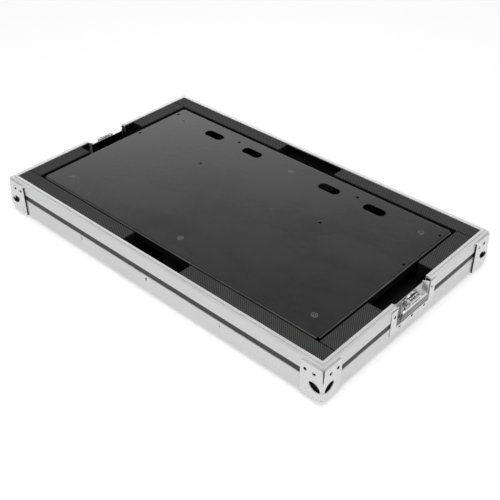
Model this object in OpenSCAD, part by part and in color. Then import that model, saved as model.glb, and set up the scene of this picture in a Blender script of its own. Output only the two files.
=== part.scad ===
// Flight-case style guitar pedal case, base half, with its pedal plate in a foam surround.
// X runs along the long side, Y from front to back, Z up. The balls of the corners stand on Z = 0.

/* [Case] */
// Outside length across the two short sides
case_l = 720; // [640:1:800]
// Outside width across the two long sides
case_w = 434; // [380:1:480]
// Height from the underside of the edge angles to the top of the foam
foam_level = 65; // [62:0.5:72]
// Width of the rim from its outer face to the foam
rim_w = 10; // [10:0.5:12]
// Thickness of the plywood panels
panel_t = 7; // [6:0.5:8]
// Wall of the aluminium profiles
profile_t = 1.5; // [1.2:0.1:2]

/* [Rim and edge angles] */
// Height of the outer skirt of the rim profile
skirt_h = 23; // [20:0.5:26]
// Width of the upstanding tongue that a lid closes on
tongue_w = 5; // [4:0.5:6]
// Height of the tongue above the shoulder of the rim
tongue_h = 1.6; // [1.2:0.1:2]
// Depth of the rim's inner leg below the shoulder
inner_leg_h = 14; // [10:1:18]
// Leg of the edge angles along the bottom
angle_h = 30; // [26:1:32]
// Distance between the rivets along the edge angles
rivet_pitch = 164; // [140:1:180]
// Height of the rivets in the edge angles
angle_rivet_z = 23; // [18:0.5:25]

/* [Corners] */
// Radius of the ball of each corner piece
ball_r = 24.5; // [24:0.1:26]
// Inset of the ball's centre from the case's side faces
ball_inset = 13.6; // [13:0.1:14.5]
// Height of the ball's centre above the underside of the edge angles
ball_lift = 16.5; // [15.5:0.1:17.5]
// Slope of the ball's flat sides, which lean out of the corner legs towards the floor, in degrees
ball_slope = 2.6; // [1.6:0.1:3.6]
// Sheet thickness of the corner pieces
corner_t = 1.5; // [1.2:0.1:1.8]
// Distance of the corner legs' faces from the case's side faces
corner_out = 2.5; // [2:0.1:3.4]
// Width of each corner leg
corner_leg_w = 41.5; // [40:0.5:46]
// Height of the upright corner legs
corner_leg_h = 59.5; // [54:0.5:62]
// Radius of the legs' free top corners
leg_round_r = 4; // [3:0.5:8]
// Length of the lens-shaped window in each side of the ball
window_l = 22; // [18:0.2:22.4]
// Width of the windows
window_w = 13.4; // [10:0.2:13.6]
// Width of the slit between the two legs at its top
slit_w = 3; // [2.4:0.1:4]
// Height of the slit's lower end
slit_z = 37; // [34:0.5:40]
// Height of the rivets in the corner legs
corner_rivet_z = 46.6; // [44:0.2:50]

/* [Rivets] */
// Radius of the rivet shanks
rivet_r = 1.6; // [1.5:0.1:2]
// Radius of the rivet heads
rivet_head_r = 3; // [2.8:0.1:3.5]
// Height of the rivet heads
rivet_head_h = 1.1; // [0.8:0.1:1.3]
// Radius of the hole in the rivet heads
rivet_hole_r = 0.9; // [0.7:0.1:1.1]
// Depth of the hole in the rivet heads
rivet_hole_d = 2; // [1.5:0.1:3]
// Depth of the rivets in the panels
rivet_grip = 5; // [4:0.5:5.5]

/* [Foam] */
// Thickness of the foam strips along the long sides
foam_long_w = 27; // [24:0.5:30]
// Thickness of the foam strips at the short sides
foam_short_w = 28; // [24:0.5:30]
// Thickness of the foam on the floor
floor_foam_t = 5; // [3:0.5:8]
// Length of the finger notch in each strip
notch_l = 132; // [120:1:140]
// Depth of the finger notches
notch_depth = 40; // [34:1:42]

/* [Pedal plate] */
// Gap between the plate and the foam at the short sides
plate_gap_x = 5.5; // [3:0.5:7]
// Gap between the plate and the foam at the long sides
plate_gap_y = 4.5; // [3:0.5:6]
// Sheet thickness of the plate
plate_t = 2; // [1.5:0.1:2.5]
// Depth of the plate below the top of the foam
plate_drop = 1.5; // [0.5:0.1:3]
// Depth of the plate's folded edge
plate_fold_h = 14; // [10:1:18]
// Outside radius of the folded edge
plate_fold_r = 3; // [2.6:0.1:4]
// Length of the cable slots
slot_l = 44; // [32:1:48]
// Width of the cable slots
slot_w = 20; // [12:1:22]
// Distance of the outer cable slots from the plate's ends
slot_end_gap = 126.5; // [120:0.5:134]
// Distance between the two slots of a pair
slot_pitch = 98; // [88:1:104]
// Shift of all the slots along the case from the plate's middle
slot_shift = -4.5; // [-6:0.5:6]
// Inset of the slots, the plate screws and the outer bearers from the plate's edges
edge_inset = 36.5; // [32:0.5:42]
// Radius of the accessory holes
hole_r = 2.75; // [2:0.05:3.5]
// Distance between the accessory holes of a group along the case
hole_pitch_x = 167.5; // [160:0.5:176]
// Distance between the accessory holes of a group across the case
hole_pitch_y = 103.5; // [96:0.5:108]
// Distance of each group's middle from the plate's end
hole_group_end = 92.25; // [88:0.25:98]
// Distance of the groups' middle from the plate's back edge
hole_group_back = 76.25; // [66:0.25:82]
// Width of the bearers under the plate
bearer_w = 30; // [24:1:36]
// Radius of the screw shanks
screw_r = 2; // [1.8:0.1:2.4]
// Radius of the countersunk screw heads
screw_head_r = 5.2; // [4.6:0.1:5.4]
// Length of the screws
screw_l = 25; // [18:1:32]

/* [Latches] */
// Width of the latch dish's flange
flange_w = 116; // [112:1:124]
// Height of the flange's lower edge
flange_z0 = 14; // [12:0.5:16]
// Height of the flange's upper edge
flange_z1 = 60.5; // [59:0.5:61.5]
// Sheet thickness of the dish
dish_t = 1.2; // [1:0.1:1.5]
// Width of the dish's pocket at the flange
pocket_w = 87; // [84:0.5:92]
// Width of the dish's pocket at its back
pocket_back_w = 74; // [70:0.5:78]
// Height of the pocket's floor
pocket_z = 25.2; // [24.6:0.1:25.3]
// Height of the dish's back wall
back_wall_z = 57; // [56.5:0.1:58]
// Height of the turning cam's centre
cam_z = 46; // [45.5:0.1:46.5]
// Radius of the cam's front disc
cam_disc_r = 14.5; // [14:0.1:15]
// Radius of the eccentric behind the disc
ecc_r = 9; // [8.8:0.1:9.3]
// Offset of the eccentric, half of the hook's travel
ecc_offset = 5; // [4.6:0.1:5.1]
// Radius of the pivot that the cam turns on
pivot_r = 2.5; // [2.2:0.1:2.6]
// Radius of the wing's hinge pin
wing_pin_r = 1.2; // [1:0.1:1.4]
// Height of the hinge pin above the cam's centre
wing_pin_up = 9.5; // [9:0.1:9.6]
// Length of the folding wing
wing_l = 75; // [60:1:76]
// Depth of the folding wing below its hinge pin
wing_h = 24.5; // [20:0.5:25]
// Radius of the wing's upper corners
wing_round_r = 15; // [10:0.5:16]
// Thickness of the wing
wing_t = 1.8; // [1.5:0.1:2.2]
// Width of the hook's tongue
hook_w = 18; // [14:0.5:20]
// Sheet thickness of the hook
hook_t = 2; // [1.8:0.1:2.2]
// Height of the hook's lip, which lies in a notch of the back wall
lip_h = 2; // [1.6:0.1:2.4]
// Width of the hook's plate beside its window
hook_side_w = 4.5; // [4:0.1:5]
// Room above and below the eccentric in the hook's window
window_gap = 1.2; // [1.1:0.1:1.5]
// Thickness of the cam's front disc
disc_t = 2; // [1.8:0.1:2.2]
// Distance of the wing's pin behind the wing's back face
pin_depth = 4; // [3.8:0.1:4]
// Radius of the cheeks that carry the wing's pin
cheek_r = 2.6; // [2.4:0.1:2.7]
// Thickness of the cheeks
cheek_t = 1.8; // [1.6:0.1:1.9]
// Distance of the cheeks' inner faces from the latch's middle
cheek_y = 14.2; // [13:0.1:14.3]
// Radius of the wing's knuckles
knuckle_r = 2.4; // [2.2:0.1:2.6]
// Thickness of the wing's knuckles
knuckle_t = 2.3; // [2:0.1:2.6]
// Distance of the rivets at the flange's sides from the latch's middle
side_rivet_y = 49.5; // [48.5:0.5:52]
// Height of the rivets at the flange's sides
side_rivet_z = 48.4; // [46:0.1:50]
// Distance of the outer rivets along the flange's bottom from the latch's middle
low_rivet_y = 33; // [26:1:40]
// Height of the rivets along the flange's bottom
low_rivet_z = 21; // [19:0.5:22]

/* [Hidden] */
$fn = 48;
// Running clearance between a pin and its bore
fit = 0.05;
// Clearance between pieces that slide past each other
slide_gap = 0.3;
// Gap at the mitres of the rim
mitre_gap = 0.1;
// Gap between a cut-out and the sheet that passes through it
cut_gap = 0.5;
// Radius and thickness of the pivot's front head
pivot_head_r = 4.2;
pivot_head_t = 1.2;
// Gap between the wing and the rivet heads that it passes over
wing_clear = 0.2;
// Drop of the wing's upper edge below its pin
wing_top_drop = 6;
// Height of the wing's cross bar
bar_h = 2.8;
// Width of the two guides beside the hook
guide_w = 2;
// Depth of the rim's shoulder below the top of the foam
shoulder_drop = 0.6;
// Thickness of the rim above the panels
cap_t = 2.4;
// Length of each end of an edge angle that lies under a corner leg
angle_lap = 7;
// Gap between the foam and the lower edge of the rim's inner leg
foam_leg_gap = 0.2;
// Gap between the ends of the bearers and the folded edge of the plate
bearer_end_gap = 8;
// Depth of the plate screws' countersunk heads
screw_head_h = 3;
// Depth of the screws below the top of the plate
screw_sink = 0.2;
// Depth and half width of the fine grooves along the profiles
groove_d = 0.25;
groove_w = 0.5;
// Overshoot of a cutting solid past the surface it cuts
over = 1;

// The underside of the edge angles, lifted off the floor by the balls
base_z = ball_r - ball_lift;
face_x = case_l / 2;
face_y = case_w / 2;
inner_x = face_x - rim_w;
inner_y = face_y - rim_w;
panel_x = face_x - profile_t;
panel_y = face_y - profile_t;
panel_in_x = panel_x - panel_t;
panel_in_y = panel_y - panel_t;
foam_z = base_z + foam_level;
shoulder_z = foam_z - shoulder_drop;
tongue_z = shoulder_z + tongue_h;
panel_top_z = shoulder_z - cap_t;
skirt_z = shoulder_z - skirt_h;
inner_leg_z = shoulder_z - inner_leg_h;
floor_z = base_z + profile_t;
floor_top_z = floor_z + panel_t;
pad_top_z = floor_top_z + floor_foam_t;

leg_x = face_x + corner_out;
leg_y = face_y + corner_out;
leg_top = base_z + corner_leg_h;
angle_end_x = leg_x - corner_leg_w + angle_lap;
angle_end_y = leg_y - corner_leg_w + angle_lap;
ball_x = face_x - ball_inset;
ball_y = face_y - ball_inset;
ball_z = base_z + ball_lift;

pocket_x = inner_x - foam_short_w;
pocket_y = inner_y - foam_long_w;
plate_x = pocket_x - plate_gap_x;
plate_y = pocket_y - plate_gap_y;
plate_z = foam_z - plate_drop;
bearer_top_z = plate_z - plate_t;
bearer_z = pad_top_z + slide_gap;
bearer_y = plate_y - plate_t - bearer_end_gap;
slot_y = plate_y - edge_inset;
slot_outer_x = plate_x - slot_end_gap;
slot_inner_x = slot_outer_x - slot_pitch;
hole_group_x = plate_x - hole_group_end;
hole_group_y = plate_y - hole_group_back;
bearer_x = plate_x - edge_inset;
bearer_xs = [-bearer_x, 0, bearer_x];

flange_x = face_x + dish_t;
cut_y = pocket_w / 2 + dish_t + cut_gap;
cut_z = base_z + pocket_z - dish_t - cut_gap;
hook_x = inner_x + dish_t + slide_gap;
disc_x = hook_x + hook_t + slide_gap;
disc_front_x = disc_x + disc_t;
pivot_front_x = disc_front_x - slide_gap / 3;
knuckle_y = cheek_y - slide_gap - knuckle_t;
wing_x = flange_x + rivet_head_h + wing_clear;
wing_pin_x = wing_x - pin_depth;
wing_pin_z = base_z + cam_z + wing_pin_up;
wing_top_z = wing_pin_z - wing_top_drop;
hook_body_w = 2 * (ecc_r + ecc_offset + hook_side_w);

alu = [0.82, 0.82, 0.83];
steel = [0.76, 0.77, 0.78];
zinc = [0.7, 0.71, 0.72];
laminate = [0.3, 0.3, 0.31];
foam_grey = [0.24, 0.24, 0.25];
coat = [0.2, 0.2, 0.21];
ply = [0.72, 0.58, 0.42];
black_ply = [0.22, 0.21, 0.2];

// Mirrors its children into the quarter given by the signs sx and sy
module quarter(sx, sy) {
    mirror([sx < 0 ? 1 : 0, 0, 0]) mirror([0, sy < 0 ? 1 : 0, 0]) children();
}

// Turns the right-hand latch into the left-hand one
module latch_side(left) {
    rotate([0, 0, left ? 180 : 0]) children();
}

// A box between two opposite corners
module span(a, b) {
    translate(a) cube(b - a);
}

// A cylinder along X from x0 to x1
module along_x(x0, x1, r, y, z) {
    translate([x0, y, z]) rotate([0, 90, 0]) cylinder(r = r, h = x1 - x0);
}

// A cylinder along Y from y0 to y1
module along_y(y0, y1, r, x, z) {
    translate([x, y0, z]) rotate([-90, 0, 0]) cylinder(r = r, h = y1 - y0);
}

// Places of the rivets: in the corner legs, the edge angles and the latch flanges
corner_rivet_us = [16.6, 32.6];
angle_rivet_xs = [-rivet_pitch, 0, rivet_pitch];
latch_rivet_places = [[-side_rivet_y, side_rivet_z], [side_rivet_y, side_rivet_z],
    [-low_rivet_y, low_rivet_z], [0, low_rivet_z], [low_rivet_y, low_rivet_z]];

// Holes for the rivets, cut from whatever they pass through
module rivet_holes() {
    depth = rivet_grip + profile_t + corner_out + cut_gap;
    for (sx = [-1, 1], sy = [-1, 1]) quarter(sx, sy)
        for (u = corner_rivet_us) {
            along_y(leg_y - depth, leg_y + over, rivet_r + fit, leg_x - u, base_z + corner_rivet_z);
            along_x(leg_x - depth, leg_x + over, rivet_r + fit, leg_y - u, base_z + corner_rivet_z);
        }
    for (sy = [-1, 1], x = angle_rivet_xs) quarter(1, sy)
        along_y(leg_y - depth, leg_y + over, rivet_r + fit, x, base_z + angle_rivet_z);
    for (left = [false, true]) latch_side(left) for (p = latch_rivet_places)
        along_x(leg_x - depth, leg_x + over, rivet_r + fit, p[0], base_z + p[1]);
}

// A blind rivet with a domed head and a hollow stem, its shank along -X from the face at x
module rivet(x, y, z) {
    dome_r = (rivet_head_r * rivet_head_r + rivet_head_h * rivet_head_h) / (2 * rivet_head_h);
    shank_end = -rivet_grip - profile_t;
    dome_steps = 4;
    edge_angle = asin(rivet_head_r / dome_r);
    hole_angle = asin(rivet_hole_r / dome_r);
    dome = [for (i = [0 : dome_steps]) let(a = edge_angle + (hole_angle - edge_angle) * i / dome_steps)
        [dome_r * sin(a), dome_r * cos(a) - dome_r + rivet_head_h]];
    hole_floor = rivet_head_h - rivet_hole_d;
    translate([x, y, z]) rotate([0, 90, 0]) rotate_extrude()
        polygon(concat([[0, shank_end], [rivet_r, shank_end], [rivet_r, 0]], dome,
            [[rivet_hole_r, hole_floor], [0, hole_floor]]));
}

// The same rivet with its shank along -Y from the face at y
module rivet_y(x, y, z) {
    translate([x, y, z]) rotate([0, 0, 90]) rivet(0, 0, 0);
}

module latch_cut() {
    for (left = [false, true]) latch_side(left)
        span([inner_x - over, -cut_y, cut_z], [face_x + over, cut_y, tongue_z + over]);
}

module base_panel() {
    color(ply) span([-panel_in_x, -panel_in_y, floor_z], [panel_in_x, panel_in_y, floor_top_z]);
}

module long_panel(sy) {
    color(laminate) difference() {
        quarter(1, sy) span([-panel_x, panel_in_y, floor_z], [panel_x, panel_y, panel_top_z]);
        rivet_holes();
    }
}

module short_panel(sx) {
    color(laminate) difference() {
        quarter(sx, 1) span([panel_in_x, -panel_in_y, floor_z], [panel_x, panel_in_y, panel_top_z]);
        rivet_holes();
        latch_cut();
    }
}

// Section of the rim: u is the distance outwards from the foam, v the height
module rim_section() {
    crease = 0.4;
    outer_round = 1;
    groove_pitch = 5;
    groove_top = shoulder_z - 4;
    groove_low = skirt_z + 3;
    difference() {
        polygon([[0, inner_leg_z], [profile_t, inner_leg_z], [profile_t, panel_top_z],
            [rim_w - profile_t, panel_top_z], [rim_w - profile_t, skirt_z], [rim_w, skirt_z],
            [rim_w, shoulder_z - outer_round], [rim_w - outer_round, shoulder_z],
            [tongue_w + 2 * crease, shoulder_z], [tongue_w + crease, shoulder_z - crease],
            [tongue_w, shoulder_z], [tongue_w, tongue_z - crease], [tongue_w - crease, tongue_z],
            [crease, tongue_z], [0, tongue_z - crease]]);
        for (v = [groove_top : -groove_pitch : groove_low])
            polygon([[rim_w + groove_d, v - 2 * groove_w], [rim_w + groove_d, v + 2 * groove_w],
                [rim_w - groove_d, v]]);
    }
}

// A straight rim along +X from x0 to x1, on the side of +Y
module rim_bar(x0, x1) {
    translate([x1, 0, 0]) rotate([0, -90, 0]) linear_extrude(height = x1 - x0)
        translate([0, inner_y]) mirror([1, -1, 0]) rim_section();
}

// A straight rim along +Y from y0 to y1, on the side of +X
module rim_bar_y(y0, y1) {
    translate([inner_x, y1, 0]) rotate([90, 0, 0]) linear_extrude(height = y1 - y0) rim_section();
}

// Half of the plan on the long side of the mitre line through the corner
module mitre_prism_long() {
    d = mitre_gap / 2;
    translate([0, 0, base_z]) linear_extrude(height = foam_level + 10)
        polygon([[-face_x + rim_w + d, inner_y], [face_x - rim_w - d, inner_y],
            [face_x + over - d, face_y + over], [-face_x - over + d, face_y + over]]);
}

module mitre_prism_short() {
    d = mitre_gap / 2;
    translate([0, 0, base_z]) linear_extrude(height = foam_level + 10)
        polygon([[inner_x, -inner_y + d], [face_x + over, -face_y - over + d],
            [face_x + over, face_y + over - d], [inner_x, inner_y - d]]);
}

module long_rim(sy) {
    color(alu) difference() {
        quarter(1, sy) intersection() {
            rim_bar(-face_x, face_x);
            mitre_prism_long();
        }
        rivet_holes();
    }
}

// One of the two lengths beside the latch on a short side
module short_rim(sx, sy) {
    color(alu) difference() {
        quarter(sx, sy) intersection() {
            rim_bar_y(cut_y, face_y);
            mitre_prism_short();
        }
        rivet_holes();
    }
}

// Section of the edge angle: u outwards, v up, with its outer corner at the origin
module angle_section() {
    groove_pitch = 6;
    difference() {
        polygon([[-angle_h, 0], [0, 0], [0, angle_h], [-profile_t, angle_h],
            [-profile_t, profile_t], [-angle_h, profile_t]]);
        for (v = [groove_pitch : groove_pitch : angle_h - groove_pitch / 2])
            polygon([[groove_d, v - 2 * groove_w], [groove_d, v + 2 * groove_w], [-groove_d, v]]);
    }
}

module long_angle(sy) {
    color(alu) difference() {
        quarter(1, sy) translate([angle_end_x, face_y, base_z]) rotate([0, -90, 0])
            linear_extrude(height = 2 * angle_end_x) mirror([1, -1, 0]) angle_section();
        rivet_holes();
    }
}

module short_angle(sx) {
    color(alu) difference() {
        quarter(sx, 1) translate([face_x, angle_end_y, base_z]) rotate([90, 0, 0])
            linear_extrude(height = 2 * angle_end_y) angle_section();
        rivet_holes();
        latch_cut();
    }
}

// The full ball of a corner piece, its seam turned into the case
module ball(r) {
    translate([ball_x, ball_y, ball_z]) rotate([0, 0, 225]) sphere(r = r);
}

// The ball with its two flat sides, all drawn in by t
module flat_ball(t) {
    flush_lift = 12;
    size = 4 * ball_r;
    intersection() {
        ball(ball_r - t);
        translate([leg_x - t, ball_y, ball_z + flush_lift]) rotate([0, -ball_slope, 0])
            translate([-size, -size / 2, -size / 2]) cube(size);
        translate([ball_x, leg_y - t, ball_z + flush_lift]) rotate([ball_slope, 0, 0])
            translate([-size / 2, -size, -size / 2]) cube(size);
    }
}

// Repeats a leg on the long side for the short side
module both_legs() {
    children();
    translate([leg_x - leg_y, leg_y - leg_x, 0]) mirror([1, -1, 0]) children();
}

// The plate of a leg on the long side, with a round free corner, drawn in by t there and at both its ends
module leg_plate(t, y0, y1, z0) {
    r = leg_round_r - t;
    x0 = leg_x - corner_leg_w + t;
    z1 = leg_top - t;
    span([x0 + r, y0, z0], [leg_x - t, y1, z1]);
    span([x0, y0, z0], [x0 + 2 * r, y1, z1 - r]);
    along_y(y0, y1, r, x0 + r, z1 - r);
}

// A corner piece before its openings: two upright legs and a foot that end inside the ball
module corner_blank() {
    foot_z = base_z - corner_t;
    skin_gap = 0.3;
    difference() {
        union() {
            both_legs() leg_plate(0, face_y, leg_y, foot_z);
            span([leg_x - corner_leg_w, leg_y - corner_leg_w, foot_z], [leg_x, leg_y, base_z]);
        }
        difference() {
            span([ball_x, ball_y, foot_z - over], [leg_x + over, leg_y + over, ball_z]);
            ball(ball_r - skin_gap);
        }
    }
    difference() {
        flat_ball(0);
        span([0, 0, base_z], [face_x, face_y, foam_z]);
    }
}

// A window with blunt tips in each flat side of the ball, and a slot that joins the two round the edge
module ball_windows() {
    shift = 1.6;
    lift = 6.2;
    tilt = 25;
    sharp_half = window_l / 2 + 1;
    arc_r = (sharp_half * sharp_half + window_w * window_w / 4) / window_w;
    arc_offset = arc_r - window_w / 2;
    reach_y = leg_y + ball_r;
    slot_low = ball_z + 2.2;
    slot_high = slot_low + 0.9;
    slot_inset = 6;
    both_legs() {
        intersection() {
            along_y(face_y, reach_y, arc_r, ball_x + shift + arc_offset * sin(tilt),
                ball_z + lift + arc_offset * cos(tilt));
            along_y(face_y, reach_y, arc_r, ball_x + shift - arc_offset * sin(tilt),
                ball_z + lift - arc_offset * cos(tilt));
            along_y(face_y, reach_y, window_l / 2, ball_x + shift, ball_z + lift);
        }
        span([leg_x - slot_inset, face_y, slot_low], [leg_x + ball_r, reach_y, slot_high]);
    }
}

// A pressed sheet, hollow behind its legs and in its ball
module corner() {
    slit_low = base_z + slit_z;
    slit_low_w = 0.8;
    reach = 8;
    color(steel) difference() {
        corner_blank();
        both_legs() leg_plate(corner_t, face_y - over, leg_y - corner_t, base_z);
        flat_ball(corner_t);
        ball_windows();
        // The slit along the upright edge, wide at its top
        translate([leg_x, leg_y, 0]) rotate([0, 0, 45]) rotate([90, 0, 90])
            translate([0, 0, -reach]) linear_extrude(height = 2 * reach)
                polygon([[-slit_low_w / 2, slit_low], [slit_low_w / 2, slit_low],
                    [slit_w / 2, leg_top + over], [-slit_w / 2, leg_top + over]]);
        rivet_holes();
    }
}

module corner_rivets() {
    z = base_z + corner_rivet_z;
    color(zinc) for (sx = [-1, 1], sy = [-1, 1]) quarter(sx, sy) for (u = corner_rivet_us) {
        rivet_y(leg_x - u, leg_y, z);
        rivet(leg_x, leg_y - u, z);
    }
}

module angle_rivets() {
    color(zinc) for (sy = [-1, 1], x = angle_rivet_xs) quarter(1, sy)
        rivet_y(x, face_y, base_z + angle_rivet_z);
}

module latch_rivets() {
    color(zinc) for (left = [false, true]) latch_side(left) for (p = latch_rivet_places)
        rivet(flange_x, p[0], base_z + p[1]);
}

module floor_foam() {
    color(foam_grey) span([-panel_in_x, -panel_in_y, floor_top_z], [panel_in_x, panel_in_y, pad_top_z]);
}

// The strips fill out to the panels below the rim's inner leg
module long_foam(sy) {
    color(foam_grey) quarter(1, sy) difference() {
        union() {
            span([-inner_x, pocket_y, pad_top_z], [inner_x, inner_y, foam_z]);
            span([-panel_in_x, pocket_y, pad_top_z], [panel_in_x, panel_in_y, inner_leg_z - foam_leg_gap]);
        }
        span([-notch_l / 2, pocket_y - over, foam_z - notch_depth],
            [notch_l / 2, panel_in_y + over, foam_z + over]);
    }
}

module short_foam(sx) {
    color(foam_grey) quarter(sx, 1) difference() {
        union() {
            span([pocket_x, -pocket_y, pad_top_z], [inner_x, pocket_y, foam_z]);
            span([pocket_x, -pocket_y, pad_top_z], [panel_in_x, pocket_y, inner_leg_z - foam_leg_gap]);
        }
        span([pocket_x - over, -notch_l / 2, foam_z - notch_depth],
            [panel_in_x + over, notch_l / 2, foam_z + over]);
        // Room for the latch's dish
        span([inner_x - slide_gap, -cut_y, cut_z], [face_x, cut_y, foam_z]);
    }
}

// An oblong slot, standing on its middle
module oblong(l, w, h) {
    for (s = [-1, 1]) translate([s * (l - w) / 2, 0, 0]) cylinder(r = w / 2, h = h);
    translate([-(l - w) / 2, -w / 2, 0]) cube([l - w, w, h]);
}

// Solid with its long edges along X rounded at the top
module rounded_bar(x0, x1, y, z0, z1, r) {
    span([x0, -y, z0], [x1, y, z1 - r]);
    span([x0, -y + r, z0], [x1, y - r, z1]);
    for (s = [-1, 1]) translate([x0, s * (y - r), z1 - r]) rotate([0, 90, 0]) cylinder(r = r, h = x1 - x0);
}

// The plate's body with its four upper edges rounded
module plate_block(x, y, z0, z1, r) {
    intersection() {
        rounded_bar(-x, x, y, z0, z1, r);
        rotate([0, 0, 90]) rounded_bar(-y, y, x, z0, z1, r);
    }
}

module pedal_plate() {
    fold_z = plate_z - plate_fold_h;
    relief = plate_fold_r + 1;
    color(coat) difference() {
        plate_block(plate_x, plate_y, fold_z, plate_z, plate_fold_r);
        plate_block(plate_x - plate_t, plate_y - plate_t, fold_z - over, plate_z - plate_t,
            plate_fold_r - plate_t);
        // Square relief where two folds meet
        for (sx = [-1, 1], sy = [-1, 1]) quarter(sx, sy)
            span([plate_x - relief, plate_y - relief, fold_z - over],
                [plate_x + over, plate_y + over, plate_z + over]);
        for (x = [-slot_outer_x, -slot_inner_x, slot_inner_x, slot_outer_x])
            translate([x + slot_shift, slot_y, plate_z - plate_t - over])
                oblong(slot_l, slot_w, plate_t + 2 * over);
        for (g = [-1, 1], sx = [-1, 1], sy = [-1, 1])
            translate([g * hole_group_x + sx * hole_pitch_x / 2, hole_group_y + sy * hole_pitch_y / 2,
                plate_z - plate_t - over]) cylinder(r = hole_r, h = plate_t + 2 * over);
        for (x = bearer_xs, sy = [-1, 1]) translate([x, sy * slot_y, 0]) screw_hole();
    }
}

// Room for a screw: its shank and its countersunk head
module screw_hole() {
    translate([0, 0, plate_z - screw_l - over]) cylinder(r = screw_r + fit, h = screw_l + over);
    translate([0, 0, plate_z - screw_head_h])
        cylinder(r1 = screw_r + fit, r2 = screw_head_r + fit, h = screw_head_h);
    translate([0, 0, plate_z - fit / 2]) cylinder(r = screw_head_r + fit, h = over);
}

module bearer(x) {
    color(black_ply) difference() {
        span([x - bearer_w / 2, -bearer_y, bearer_z], [x + bearer_w / 2, bearer_y, bearer_top_z]);
        for (sy = [-1, 1]) translate([x, sy * slot_y, 0]) screw_hole();
    }
}

// A countersunk screw with a six-sided socket
module plate_screw() {
    socket_r = 1.8;
    socket_d = 1.8;
    difference() {
        union() {
            translate([0, 0, plate_z - screw_l]) cylinder(r = screw_r, h = screw_l - screw_sink);
            translate([0, 0, plate_z - screw_head_h])
                cylinder(r1 = screw_r, r2 = screw_head_r - screw_sink, h = screw_head_h - screw_sink);
        }
        translate([0, 0, plate_z - screw_sink - socket_d])
            cylinder(r = socket_r, h = socket_d + over, $fn = 6);
    }
}

module plate_screws() {
    color(steel) for (x = bearer_xs, sy = [-1, 1]) translate([x, sy * slot_y, 0]) plate_screw();
}

// Plan of the dish's pocket, widened by t on each side
module pocket_plan(t) {
    polygon([[inner_x + dish_t - t, -pocket_back_w / 2 - t], [face_x + over, -pocket_w / 2 - t],
        [face_x + over, pocket_w / 2 + t], [inner_x + dish_t - t, pocket_back_w / 2 + t]]);
}

module latch_dish() {
    back_top = base_z + back_wall_z;
    side_top = base_z + flange_z1;
    floor_h = base_z + pocket_z;
    guide_y = hook_body_w / 2 + slide_gap;
    guide_drop = 2;
    color(steel) difference() {
        union() {
            // The flange lies on the rim and the edge angle
            span([face_x, -flange_w / 2, base_z + flange_z0], [flange_x, flange_w / 2, side_top]);
            // The tray is set into the side of the case
            intersection() {
                translate([0, 0, floor_h - dish_t]) linear_extrude(height = side_top - floor_h + dish_t)
                    pocket_plan(dish_t);
                span([inner_x, -flange_w / 2, floor_h - dish_t],
                    [face_x + dish_t / 2, flange_w / 2, side_top]);
            }
        }
        difference() {
            translate([0, 0, floor_h]) linear_extrude(height = side_top - floor_h + over) pocket_plan(0);
            for (s = [-1, 1]) quarter(1, s)
                span([inner_x, guide_y, floor_h - over],
                    [hook_x + hook_t, guide_y + guide_w, back_top - guide_drop]);
        }
        span([face_x - over, -pocket_w / 2, floor_h], [flange_x + over, pocket_w / 2, side_top + over]);
        span([inner_x - over, -pocket_back_w / 2, back_top],
            [inner_x + dish_t + over, pocket_back_w / 2, side_top + over]);
        span([inner_x - over, -hook_w / 2 - slide_gap, back_top - lip_h - slide_gap],
            [inner_x + dish_t + over, hook_w / 2 + slide_gap, back_top + over]);
        along_x(inner_x - over, inner_x + dish_t + over, pivot_r + fit, 0, base_z + cam_z);
        rivet_holes();
    }
}

// Headed pivot, riveted through the back of the dish, its front head sunk in the cam's disc
module latch_pivot() {
    z = base_z + cam_z;
    back_head_r = 5;
    color(zinc) {
        along_x(inner_x - pivot_head_t, inner_x, back_head_r, 0, z);
        along_x(inner_x - fit, pivot_front_x, pivot_r, 0, z);
        along_x(pivot_front_x - pivot_head_t, pivot_front_x, pivot_head_r, 0, z);
    }
}

// Sliding hook, lifted and drawn down by the eccentric in its window
module latch_hook() {
    ecc_z = base_z + cam_z - ecc_offset;
    window_h = ecc_r + window_gap;
    window_y = ecc_r + ecc_offset + cut_gap;
    floor_gap = 0.8;
    bridge_h = 4;
    body_z0 = base_z + pocket_z + floor_gap;
    body_z1 = ecc_z + window_h + bridge_h;
    lip_z = base_z + back_wall_z - lip_h;
    color(steel) difference() {
        union() {
            span([hook_x, -hook_body_w / 2, body_z0], [hook_x + hook_t, hook_body_w / 2, body_z1]);
            span([hook_x, -hook_w / 2, body_z1 - over], [hook_x + hook_t, hook_w / 2, lip_z + lip_h]);
            span([inner_x, -hook_w / 2, lip_z], [hook_x + hook_t, hook_w / 2, lip_z + lip_h]);
        }
        span([hook_x - over, -window_y, ecc_z - window_h],
            [hook_x + hook_t + over, window_y, ecc_z + window_h]);
    }
}

// The eccentric, the front disc and the two cheeks that carry the wing's pin
module latch_cam() {
    z = base_z + cam_z;
    cheek_out = cheek_y + cheek_t;
    plate_low = 2;
    color(zinc) difference() {
        union() {
            along_x(hook_x - slide_gap / 2, disc_x + over, ecc_r, 0, z - ecc_offset);
            along_x(disc_x, disc_front_x, cam_disc_r, 0, z);
            span([disc_x, -cheek_out, z + plate_low], [disc_front_x, cheek_out, wing_pin_z + cheek_r]);
            for (s = [-1, 1]) quarter(1, s) {
                along_y(cheek_y, cheek_out, cheek_r, wing_pin_x, wing_pin_z);
                span([disc_front_x - over, cheek_y, wing_pin_z - cheek_r],
                    [wing_pin_x, cheek_out, wing_pin_z + cheek_r]);
            }
        }
        along_x(hook_x - over, disc_front_x + over, pivot_r + fit, 0, z);
        along_x(pivot_front_x - pivot_head_t - slide_gap / 2, disc_front_x + over,
            pivot_head_r + slide_gap, 0, z);
        along_y(-cheek_out - over, cheek_out + over, wing_pin_r, wing_pin_x, wing_pin_z);
    }
}

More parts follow.
